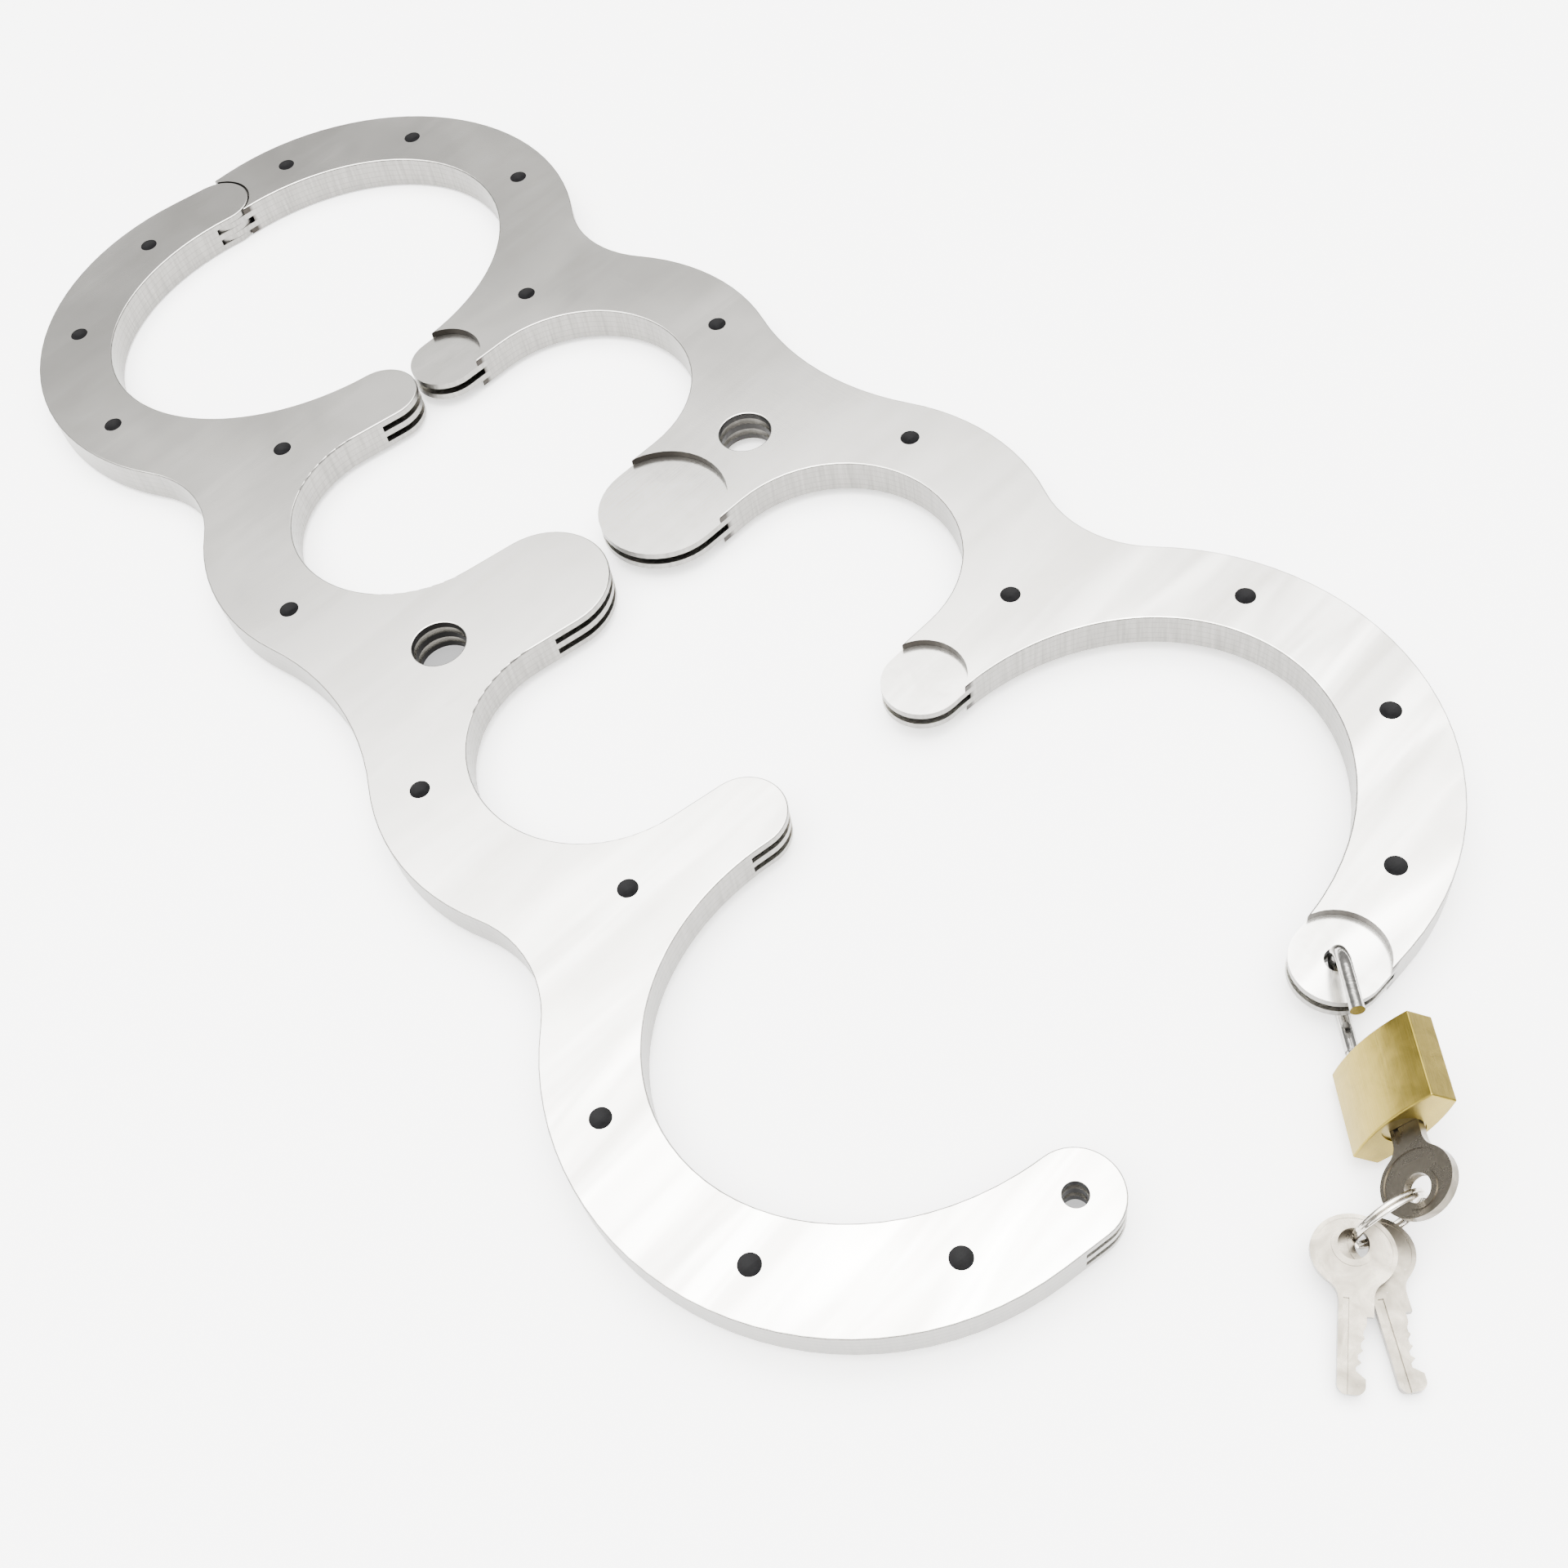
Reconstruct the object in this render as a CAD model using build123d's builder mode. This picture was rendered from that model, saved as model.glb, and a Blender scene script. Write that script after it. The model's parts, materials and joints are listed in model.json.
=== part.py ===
from build123d import *
import os
from math import cos, pi, radians, sin, sqrt

# Hinged shackle board: two mirror-image arms of laser-cut steel plates that close like
# scissors around two ankles and two wrists, with a small brass padlock hanging open in
# the lock hole of the right arm, one key in it and two more on a split ring.
#
# Frame: millimetres, +Z up. The origin is the hinge axis on the underside of the plates.
# Both arms run towards -Y. The left arm's plates lie at -X; the right arm is its mirror
# image, opened about the hinge by OPEN_ANGLE.

os.makedirs("parts", exist_ok=True)

# --- plates -------------------------------------------------------------------------
PLATE = 1.5  # thickness of one sheet
LAYER_NAMES = ("bottom", "lower_middle", "core", "upper_middle", "top")
STACK = PLATE * len(LAYER_NAMES)
OPEN_ANGLE = 10.5  # how far the right arm stands open
ARM_LENGTH = 330.0  # hinge axis to lock hole
MIDDLE = -ARM_LENGTH / 2  # the arm is symmetric about this Y
EAR_RADIUS = 8.0
MIDDLE_EAR_RADIUS = 13.5
END_STEP = 92.0  # hinge, or lock hole, to the next ear
EDGE_BREAK = 0.3  # rounding of the outermost edges
EAR_RELIEF = 0.05  # ground off both faces of the right arm's ears, so they slide

# Openings between the ears, each one half of a bay that the two arms close to.
ANKLE_DEPTH = 45.5
ANKLE_HALF_WIDTH = 38.0
ANKLE_CENTRE = (0.0, -(END_STEP / 2))
WRIST_RADIUS = 25.75
WRIST_SETBACK = 10.75
WRIST_CENTRE = (-WRIST_SETBACK, -(END_STEP + EAR_RADIUS + WRIST_RADIUS))

# Outer edge: a large and a small lobe with a neck between them and a waist at the middle.
BIG_LOBE_RADIUS = 54.0
BIG_LOBE_CENTRE = (-8.5, ANKLE_CENTRE[1])
SMALL_LOBE_RADIUS = 45.0
NECK_FILLET = 24.0
WAIST_FILLET = 58.0

# Clearance arcs, cut in each plate where the other arm's ears swing past.
OUTER_GAP = 0.6
INNER_GAP = 1.2
HINGE_GAP = 0.4
HINGE_CORNER = 4.9  # the right arm's outer plates stop this far from the hinge line

# --- holes and hinge ----------------------------------------------------------------
RIVET_RADIUS = 2.0
RIVET_SLACK = 0.01
RIVET_RECESS = 0.1
RIVET_DISH = 0.3
RIVET_SPOTS = ((-20.1, -2.8), (-46.6, -21.8), (-52.3, -57.3), (-25.3, -END_STEP), (-44.7, -135.9))
LOCK_HOLE_RADIUS = 2.25
CENTRE_HOLE_RADIUS = 5.5
CENTRE_HOLE = (-24.8, MIDDLE)
CENTRE_STEP = 0.8  # how much wider the centre hole is in the two inner ear layers
CENTRE_NOTCH = (3.2, 1.8)
HINGE_PIN_RADIUS = 3.0
HINGE_RUNNING_GAP = 0.05
HINGE_BLIND_DEPTH = 0.9  # depth of the pin's pocket in the left arm's outer plates

# --- padlock ------------------------------------------------------------------------
CASE_WIDTH = 19.4
CASE_HEIGHT = 15.5
CASE_SIDE = 4.7  # thickness at the narrow sides
CASE_BELLY = 1.5  # how far each broad face bulges beyond that
CASE_EDGE = 0.3
ROD_RADIUS = 1.22
ROD_SLACK = 0.08
LEG_SPACING = 12.6
LEG_X = LEG_SPACING / 2
LEG_RISE = 10.6  # case top to the start of the bend
LEG_INSERT = 4.4  # how much of the long leg is still in the case
SHORT_LEG = 8.4  # straight part of the short leg
SHORT_BORE = 4.2
LONG_BORE = 12.0
NECK_RADIUS = 1.02  # waist of the long leg that the retaining ring runs in
NECK_LENGTH = 6.4
NECK_FOOT = 0.7
COLLAR_THICKNESS = 0.7
COLLAR_RADIUS = 1.9

PLUG_RADIUS = 2.7
PLUG_FLANGE = 3.35
PLUG_FLANGE_DEPTH = 1.6
PLUG_RECESS = 0.35
PLUG_SLACK = 0.05
PLUG_TOP = 4.8  # above the middle of the case
KEY_TURN = 15.0  # how far the plug is turned from its home position
TAIL_RADIUS = 0.55
TAIL_OFFSET = 1.5
TAIL_LENGTH = 1.2
LATCH_TOP = 6.3
LATCH_BOTTOM = 5.0
LATCH_HALF_WIDTH = 1.25
LATCH_NOSE = 5.4
LATCH_HEEL = -2.1
LATCH_SLOT = (1.75, 2.75)
LATCH_SLOT_CENTRE = (-0.42, 0.675)
SHACKLE_NOTCH = (1.3, 2.9)  # where the latch bites, from the short leg's tip
SHACKLE_NOTCH_DEPTH = 0.6
POCKET_SLACK = 0.1
LATCH_SPRING_END = -4.5
WIRE_FACETS = 10
PIN_RADIUS = 0.6
PIN_SLACK = 0.05
PIN_LEVELS = (-4.9, -3.2, -1.5, 0.2)
PIN_POINT = 0.6  # length of a key pin's tapered point
PIN_TAPER = 33.0
DRIVER_END = 4.3
SPRING_END = 7.2

# The shackle stands upright in the lock hole, its bend passing through it, its legs
# lying almost level; the case has swung round its long leg and leans over.
LOCK_BEARING = 56.9  # compass direction, from +X, that the shackle end points in
LOCK_DIP = -7.7
CASE_LEAN = 58.9  # angle of the case's width above the horizontal
SHACKLE_LEAN = 92.3
BEND_AT_HOLE = 82.0  # how far round the bend the hole comes
ROD_SHIFT_IN_HOLE = 0.65  # the bend leans against the far side of the hole

# --- keys and ring ------------------------------------------------------------------
KEY_THICKNESS = 1.6
BOW_HALF_WIDTH = 6.4
BOW_HALF_LENGTH = 5.7
BOW_CENTRE = 1.2  # from the hole, towards the tip
BOW_HOLE_RADIUS = 2.35
BOW_RIM = 0.65
BOW_PANEL_DEPTH = 0.18
BOSS_RADIUS = 3.3
SHOULDER_AT = 10.55  # from the hole to the stop that rests on the plug
SHOULDER_X = 3.1
BLADE_HALF_WIDTH = 2.05
KEY_TIP = 21.9
TIP_ROUND = 1.4
NECK_ROUND = 3.0
GROOVE_WIDTH = 0.9
GROOVE_DEPTH = 0.4
GROOVE_X = -0.95
CUT_STEPS = ((13.05, 0.45), (14.75, 0.8), (16.45, 1.2), (18.15, 1.45))  # place and depth
CUT_HALF_WIDTH = 0.62
CUT_SLOPE = 0.9

RING_OFFSET = (-5.027, 0.374, -4.669)  # ring centre from the hole of the key in the lock
RING_AXIS_BEARING = 262.77
RING_RADIUS = 6.33
RING_WIRE = 0.43
RING_TURN_OFFSET = 0.41  # the two turns lie against each other


def unit(bearing, dip):
    """Direction given by its angle from +X and its angle above the horizontal."""
    flat = cos(radians(dip))
    return Vector(flat * cos(radians(bearing)), flat * sin(radians(bearing)), sin(radians(dip)))


def towards(centre, radius, target):
    """The point of a circle that faces another centre."""
    centre = Vector(*centre)
    return centre + (Vector(*target) - centre).normalized() * radius


def fillet_centre(centre_a, radius_a, centre_b, radius_b, fillet_radius):
    """Centre of an arc that touches two circles from outside, on their -X side."""
    a, b = Vector(*centre_a), Vector(*centre_b)
    span = b - a
    reach_a = radius_a + fillet_radius
    reach_b = radius_b + fillet_radius
    along = (reach_a**2 - reach_b**2 + span.length**2) / (2 * span.length)
    aside = sqrt(reach_a**2 - along**2)
    direction = span.normalized()
    return a + direction * along + Vector(direction.Y, -direction.X) * aside


def arc_about(centre, start, end):
    """The shorter arc from start to end about a centre."""
    centre, start, end = Vector(*centre), Vector(*start), Vector(*end)
    radius = (start - centre).length
    middle = ((start - centre).normalized() + (end - centre).normalized()).normalized()
    ThreePointArc(start, centre + middle * radius, end)


def mirrored(point):
    """The same place at the other end of the arm."""
    return (point[0], 2 * MIDDLE - point[1])


EAR_SPOTS = (
    ((0.0, 0.0), EAR_RADIUS),
    ((0.0, -END_STEP), EAR_RADIUS),
    ((0.0, MIDDLE), MIDDLE_EAR_RADIUS),
    (mirrored((0.0, -END_STEP)), EAR_RADIUS),
    ((0.0, -ARM_LENGTH), EAR_RADIUS),
)
ALL_RIVET_SPOTS = RIVET_SPOTS + tuple(mirrored(p) for p in RIVET_SPOTS)
LOCK_HOLE = (0.0, -ARM_LENGTH)
ARM_PLANE = {"left": Plane.XY, "right": Plane.XY.rotated((0, 0, OPEN_ANGLE))}
EAR_LAYERS = {"left": (0, 2, 4), "right": (1, 3)}


def arm_outline():
    """The left arm's outer edge and its straight inner side, as one closed line."""
    big, small = BIG_LOBE_CENTRE, WRIST_CENTRE
    neck = fillet_centre(big, BIG_LOBE_RADIUS, small, SMALL_LOBE_RADIUS, NECK_FILLET)
    low_small, low_big = mirrored(small), mirrored(big)
    waist = fillet_centre(small, SMALL_LOBE_RADIUS, low_small, SMALL_LOBE_RADIUS, WAIST_FILLET)
    low_neck = (neck.X, 2 * MIDDLE - neck.Y)
    hinge_end = (big[0], big[1] + BIG_LOBE_RADIUS)
    lock_end = mirrored(hinge_end)
    neck_in = towards(big, BIG_LOBE_RADIUS, (neck.X, neck.Y))
    neck_out = towards(small, SMALL_LOBE_RADIUS, (neck.X, neck.Y))
    waist_in = towards(small, SMALL_LOBE_RADIUS, (waist.X, waist.Y))
    waist_out = towards(low_small, SMALL_LOBE_RADIUS, (waist.X, waist.Y))
    low_in = towards(low_small, SMALL_LOBE_RADIUS, low_neck)
    low_out = towards(low_big, BIG_LOBE_RADIUS, low_neck)
    Line((0, EAR_RADIUS), hinge_end)
    arc_about(big, hinge_end, (neck_in.X, neck_in.Y))
    arc_about((neck.X, neck.Y), (neck_in.X, neck_in.Y), (neck_out.X, neck_out.Y))
    arc_about(small, (neck_out.X, neck_out.Y), (waist_in.X, waist_in.Y))
    arc_about((waist.X, waist.Y), (waist_in.X, waist_in.Y), (waist_out.X, waist_out.Y))
    arc_about(low_small, (waist_out.X, waist_out.Y), (low_in.X, low_in.Y))
    arc_about(low_neck, (low_in.X, low_in.Y), (low_out.X, low_out.Y))
    arc_about(low_big, (low_out.X, low_out.Y), lock_end)
    Line(lock_end, (0, -ARM_LENGTH - EAR_RADIUS))
    Line((0, -ARM_LENGTH - EAR_RADIUS), (0, EAR_RADIUS))


def half_bays():
    """The two ankle and two wrist openings."""
    with Locations(ANKLE_CENTRE, mirrored(ANKLE_CENTRE)):
        Ellipse(ANKLE_DEPTH, ANKLE_HALF_WIDTH, mode=Mode.SUBTRACT)
    with Locations(WRIST_CENTRE, mirrored(WRIST_CENTRE)):
        Circle(WRIST_RADIUS, mode=Mode.SUBTRACT)
    mouth_centre = (WRIST_CENTRE[0] / 2, WRIST_CENTRE[1])
    with Locations(mouth_centre, mirrored(mouth_centre)):
        Rectangle(WRIST_SETBACK, 2 * WRIST_RADIUS, mode=Mode.SUBTRACT)


def ear_gap(side, level, place):
    """Radial gap between a cut-back plate and the other arm's ear."""
    if level in (1, 2, 3):
        return INNER_GAP
    if side == "right" and place == (0.0, 0.0):
        return HINGE_GAP
    return OUTER_GAP


def ear_clearances(side, level):
    """What a sheet without ears loses around the other arm's ears, drawn for the left arm."""
    with BuildSketch() as clearances:
        for place, radius in EAR_SPOTS:
            with Locations(place):
                Circle(radius + ear_gap(side, level, place))
        if side == "right" and level in (0, 4):
            with Locations((-HINGE_CORNER / 2, EAR_RADIUS)):
                Rectangle(HINGE_CORNER, 2 * EAR_RADIUS)
    return clearances.sketch


def rim_edges(face, side, level):
    """The edges of an outer face that are rounded: not the rivet holes or the cuts around ears."""
    rims = ShapeList(e for e in face.edges() if e.length > 1.5 * pi * RIVET_RADIUS * 2 or not e.is_closed)
    if level in EAR_LAYERS[side]:
        return rims
    cuts = mirror(ear_clearances(side, level), about=Plane.YZ, mode=Mode.PRIVATE)
    cuts = ARM_PLANE[side].offset(face.center().Z).location * cuts
    return ShapeList(e for e in rims if min(c.distance_to(e @ 0.5) for c in cuts.edges()) > 0.01)


def plate_profile(side, level):
    """Plan of one sheet, drawn as the left arm and mirrored for the right."""
    with BuildSketch() as profile:
        with BuildLine():
            arm_outline()
        make_face()
        half_bays()
        if level in EAR_LAYERS[side]:
            for place, radius in EAR_SPOTS:
                with Locations(place):
                    Circle(radius)
        else:
            add(ear_clearances(side, level), mode=Mode.SUBTRACT)
        with Locations(*ALL_RIVET_SPOTS):
            Circle(RIVET_RADIUS, mode=Mode.SUBTRACT)
        stepped = level in (1, 3)
        with Locations(CENTRE_HOLE):
            Circle(CENTRE_HOLE_RADIUS + (CENTRE_STEP if stepped else 0), mode=Mode.SUBTRACT)
        if stepped:
            with Locations((CENTRE_HOLE[0] + CENTRE_HOLE_RADIUS, CENTRE_HOLE[1])):
                Rectangle(*CENTRE_NOTCH, mode=Mode.SUBTRACT)
        if level in EAR_LAYERS[side]:
            with Locations(LOCK_HOLE):
                Circle(LOCK_HOLE_RADIUS, mode=Mode.SUBTRACT)
            if side == "right":
                Circle(HINGE_PIN_RADIUS + HINGE_RUNNING_GAP, mode=Mode.SUBTRACT)
        if side == "right":
            mirror(about=Plane.YZ, mode=Mode.REPLACE)
    return profile.sketch


def make_plate(side, level):
    """One sheet of one arm, in its place in the stack."""
    floor = ARM_PLANE[side].offset(level * PLATE)
    with BuildPart() as plate:
        with BuildSketch(floor):
            add(plate_profile(side, level))
        extrude(amount=PLATE)
        if level in (0, len(LAYER_NAMES) - 1):
            outer_face = plate.faces().sort_by(Axis.Z)[0 if level == 0 else -1]
            fillet(rim_edges(outer_face, side, level), EDGE_BREAK)
        if side == "left" and level == 2:
            with BuildSketch(floor):
                Circle(HINGE_PIN_RADIUS)
            extrude(amount=PLATE, mode=Mode.SUBTRACT)
        if side == "left" and level in (0, 4):
            pocket_floor = PLATE - HINGE_BLIND_DEPTH if level == 0 else 0
            with BuildSketch(floor.offset(pocket_floor)):
                Circle(HINGE_PIN_RADIUS)
            extrude(amount=HINGE_BLIND_DEPTH, mode=Mode.SUBTRACT)
        if side == "right" and level in EAR_LAYERS[side]:
            for face in (0, PLATE - EAR_RELIEF):
                with BuildSketch(floor.offset(face)):
                    for place, radius in EAR_SPOTS:
                        with Locations((-place[0], place[1])):
                            Circle(radius + INNER_GAP)
                extrude(amount=EAR_RELIEF, mode=Mode.SUBTRACT)
    plate.part.label = f"{side}_{LAYER_NAMES[level]}_plate"
    return plate


for arm_side in ("left", "right"):
    for layer in range(len(LAYER_NAMES)):
        sheet = make_plate(arm_side, layer)
        export_step(sheet.part, f"parts/{sheet.part.label}.step")


# --- rivets and hinge pin -----------------------------------------------------------
def make_rivets(side):
    """All the flush rivets of one arm: each a plain pin with a dished face at both ends."""
    flip = -1 if side == "right" else 1
    spots = [(flip * x, y) for x, y in ALL_RIVET_SPOTS]
    shank = RIVET_RADIUS - RIVET_SLACK
    dish_radius = (shank**2 + RIVET_DISH**2) / (2 * RIVET_DISH)
    with BuildPart() as rivets:
        with BuildSketch(ARM_PLANE[side].offset(RIVET_RECESS)):
            with Locations(*spots):
                Circle(shank)
        extrude(amount=STACK - 2 * RIVET_RECESS)
        for x, y in spots:
            for height in (
                RIVET_RECESS + RIVET_DISH - dish_radius,
                STACK - RIVET_RECESS - RIVET_DISH + dish_radius,
            ):
                with Locations(ARM_PLANE[side].from_local_coords((x, y, height))):
                    Sphere(dish_radius, mode=Mode.SUBTRACT)
    rivets.part.label = f"{side}_rivets"
    return rivets


for arm_side in ("left", "right"):
    rivet_set = make_rivets(arm_side)
    export_step(rivet_set.part, f"parts/{rivet_set.part.label}.step")

with BuildPart() as hinge_pin:
    with BuildSketch(Plane.XY.offset(PLATE - HINGE_BLIND_DEPTH)):
        Circle(HINGE_PIN_RADIUS - RIVET_SLACK)
    extrude(amount=STACK - 2 * (PLATE - HINGE_BLIND_DEPTH))
    chamfer(hinge_pin.edges(), 0.2)
hinge_pin.part.label = "hinge_pin"
export_step(hinge_pin.part, "parts/hinge_pin.step")


# --- where the padlock hangs --------------------------------------------------------
LOCK_UP = unit(LOCK_BEARING, LOCK_DIP)
LEVEL = unit(LOCK_BEARING - 90, 0)
RISE = LEVEL.cross(LOCK_UP)
CASE_X = LEVEL * cos(radians(CASE_LEAN)) + RISE * sin(radians(CASE_LEAN))
SHACKLE_X = LEVEL * cos(radians(SHACKLE_LEAN)) + RISE * sin(radians(SHACKLE_LEAN))

BEND_RADIUS = LEG_SPACING / 2
HOLE_CENTRE = ARM_PLANE["right"].from_local_coords((0, -ARM_LENGTH, STACK / 2))
BEND_OFFSET = SHACKLE_X * (-cos(radians(BEND_AT_HOLE))) + LOCK_UP * sin(radians(BEND_AT_HOLE))
BEND_CENTRE = HOLE_CENTRE - BEND_OFFSET * BEND_RADIUS + LOCK_UP * ROD_SHIFT_IN_HOLE
LEG_ROOT = BEND_CENTRE - SHACKLE_X * BEND_RADIUS - LOCK_UP * LEG_RISE
CASE_CENTRE = LEG_ROOT + CASE_X * LEG_X - LOCK_UP * (CASE_HEIGHT / 2)
CASE_PLANE = Plane(origin=CASE_CENTRE, x_dir=CASE_X, z_dir=LOCK_UP)
SHACKLE_PLANE = Plane(origin=LEG_ROOT, x_dir=SHACKLE_X, z_dir=SHACKLE_X.cross(LOCK_UP))
HALF_HEIGHT = CASE_HEIGHT / 2


def case_level(height):
    """A plane across the padlock case, square to its shackle legs."""
    return CASE_PLANE.offset(height)


def case_side_plane(x, z):
    """A plane facing the case's short-leg side, centred at a given height."""
    return Plane(
        origin=CASE_PLANE.from_local_coords((x, 0, z)), x_dir=CASE_PLANE.y_dir, z_dir=CASE_X
    )


# --- padlock case -------------------------------------------------------------------
with BuildPart() as padlock_case:
    with BuildSketch(case_level(-HALF_HEIGHT)):
        with BuildLine():
            half_width, half_side = CASE_WIDTH / 2, CASE_SIDE / 2
            belly = half_side + CASE_BELLY
            ThreePointArc((-half_width, -half_side), (0, -belly), (half_width, -half_side))
            Line((half_width, -half_side), (half_width, half_side))
            ThreePointArc((half_width, half_side), (0, belly), (-half_width, half_side))
            Line((-half_width, half_side), (-half_width, -half_side))
        make_face()
    extrude(amount=CASE_HEIGHT)
    fillet(padlock_case.edges(), CASE_EDGE)
    for leg_x, depth in ((-LEG_X, LONG_BORE), (LEG_X, SHORT_BORE)):
        with BuildSketch(case_level(HALF_HEIGHT - depth)):
            with Locations((leg_x, 0)):
                Circle(ROD_RADIUS + ROD_SLACK)
        extrude(amount=depth + 1, mode=Mode.SUBTRACT)
    collar_floor = HALF_HEIGHT - LEG_INSERT + NECK_FOOT
    with BuildSketch(case_level(collar_floor - ROD_SLACK)):
        with Locations((-LEG_X, 0)):
            Circle(COLLAR_RADIUS + ROD_SLACK)
    extrude(amount=COLLAR_THICKNESS + 2 * ROD_SLACK, mode=Mode.SUBTRACT)
    with BuildSketch(case_level(-HALF_HEIGHT - 1)):
        Circle(PLUG_FLANGE + PLUG_SLACK)
    extrude(amount=1 + PLUG_RECESS + PLUG_FLANGE_DEPTH + PLUG_SLACK, mode=Mode.SUBTRACT)
    with BuildSketch(case_level(-HALF_HEIGHT)):
        Circle(PLUG_RADIUS + PLUG_SLACK)
    extrude(amount=HALF_HEIGHT + PLUG_TOP + PLUG_SLACK, mode=Mode.SUBTRACT)
    pocket_start = LATCH_SPRING_END - POCKET_SLACK
    pocket_end = LEG_X
    with BuildSketch(case_level(LATCH_BOTTOM - POCKET_SLACK)):
        with Locations(((pocket_start + pocket_end) / 2, 0)):
            Rectangle(pocket_end - pocket_start, 2 * (LATCH_HALF_WIDTH + POCKET_SLACK))
    extrude(amount=LATCH_TOP - LATCH_BOTTOM + 2 * POCKET_SLACK, mode=Mode.SUBTRACT)
    with BuildSketch(case_level(PLUG_TOP)):
        Circle(TAIL_OFFSET + TAIL_RADIUS + POCKET_SLACK)
    extrude(amount=TAIL_LENGTH + POCKET_SLACK, mode=Mode.SUBTRACT)
    for level_z in PIN_LEVELS:
        with BuildSketch(case_side_plane(PLUG_RADIUS - 0.5, level_z)):
            Circle(PIN_RADIUS + PIN_SLACK)
        extrude(amount=CASE_WIDTH / 2 - PLUG_RADIUS + 1, mode=Mode.SUBTRACT)
padlock_case.part.label = "padlock_case"
export_step(padlock_case.part, "parts/padlock_case.step")

# --- shackle ------------------------------------------------------------------------
with BuildPart() as padlock_shackle:
    with BuildLine(SHACKLE_PLANE):
        Line((0, -LEG_INSERT), (0, LEG_RISE))
        ThreePointArc((0, LEG_RISE), (BEND_RADIUS, LEG_RISE + BEND_RADIUS), (LEG_SPACING, LEG_RISE))
        Line((LEG_SPACING, LEG_RISE), (LEG_SPACING, LEG_RISE - SHORT_LEG))
    with BuildSketch(Plane(origin=LEG_ROOT - LOCK_UP * LEG_INSERT, x_dir=SHACKLE_X, z_dir=LOCK_UP)):
        Circle(ROD_RADIUS)
    sweep()
    neck_floor = Plane(
        origin=LEG_ROOT + LOCK_UP * (NECK_FOOT - LEG_INSERT), x_dir=SHACKLE_X, z_dir=LOCK_UP
    )
    with BuildSketch(neck_floor):
        Circle(ROD_RADIUS + 0.5)
        Circle(NECK_RADIUS, mode=Mode.SUBTRACT)
    extrude(amount=NECK_LENGTH, mode=Mode.SUBTRACT)
    notch_start = LEG_RISE - SHORT_LEG + SHACKLE_NOTCH[0]
    notch_plane = Plane(
        origin=LEG_ROOT + LOCK_UP * notch_start + SHACKLE_X * (LEG_SPACING - ROD_RADIUS),
        x_dir=SHACKLE_X,
        z_dir=LOCK_UP,
    )
    with BuildSketch(notch_plane):
        Rectangle(2 * SHACKLE_NOTCH_DEPTH, 3 * ROD_RADIUS)
    extrude(amount=SHACKLE_NOTCH[1] - SHACKLE_NOTCH[0], mode=Mode.SUBTRACT)
padlock_shackle.part.label = "padlock_shackle"
export_step(padlock_shackle.part, "parts/padlock_shackle.step")

with BuildPart() as shackle_collar:
    with BuildSketch(case_level(collar_floor)):
        with Locations((-LEG_X, 0)):
            Circle(COLLAR_RADIUS)
            Circle(NECK_RADIUS + ROD_SLACK, mode=Mode.SUBTRACT)
    extrude(amount=COLLAR_THICKNESS)
shackle_collar.part.label = "padlock_shackle_collar"
export_step(shackle_collar.part, "parts/padlock_shackle_collar.step")


# --- springs ------------------------------------------------------------------------
def coil(start, along, length, radius, wire, turns):
    """A spring of wire with flattened facets, its axis running from start."""
    plane = Plane(origin=start, z_dir=along)
    pitch = (length - 2 * wire) / turns
    base = plane.offset(wire)
    path = Helix(pitch=pitch, height=pitch * turns, radius=radius)
    path = base.location * path
    section = Plane(origin=path @ 0, z_dir=path % 0)
    with BuildPart() as spring:
        with BuildLine():
            add(path)
        with BuildSketch(section):
            RegularPolygon(wire, WIRE_FACETS)
        sweep(is_frenet=True)
    return spring


LEG_FOOT = LEG_ROOT - LOCK_UP * LEG_INSERT
BORE_FLOOR = LEG_ROOT - LOCK_UP * LONG_BORE
shackle_spring = coil(BORE_FLOOR, LOCK_UP, (LEG_FOOT - BORE_FLOOR).length, 0.95, 0.18, 7)
shackle_spring.part.label = "padlock_shackle_spring"
export_step(shackle_spring.part, "parts/padlock_shackle_spring.step")

latch_middle = (LATCH_TOP + LATCH_BOTTOM) / 2
latch_spring_start = CASE_PLANE.from_local_coords((LATCH_SPRING_END, 0, latch_middle))
latch_spring = coil(latch_spring_start, CASE_X, LATCH_HEEL - LATCH_SPRING_END, 0.48, 0.12, 5)
latch_spring.part.label = "padlock_latch_spring"
export_step(latch_spring.part, "parts/padlock_latch_spring.step")

# --- plug, pins and latch -----------------------------------------------------------
PLUG_X = CASE_X * cos(radians(KEY_TURN)) + CASE_PLANE.y_dir * sin(radians(KEY_TURN))
PLUG_PLANE = Plane(origin=CASE_CENTRE, x_dir=PLUG_X, z_dir=LOCK_UP)
PLUG_FACE = -HALF_HEIGHT + PLUG_RECESS


def plug_side_plane(x, z):
    """A plane across one of the plug's own pin holes."""
    return Plane(
        origin=PLUG_PLANE.from_local_coords((x, 0, z)), x_dir=PLUG_PLANE.y_dir, z_dir=PLUG_PLANE.x_dir
    )


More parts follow.
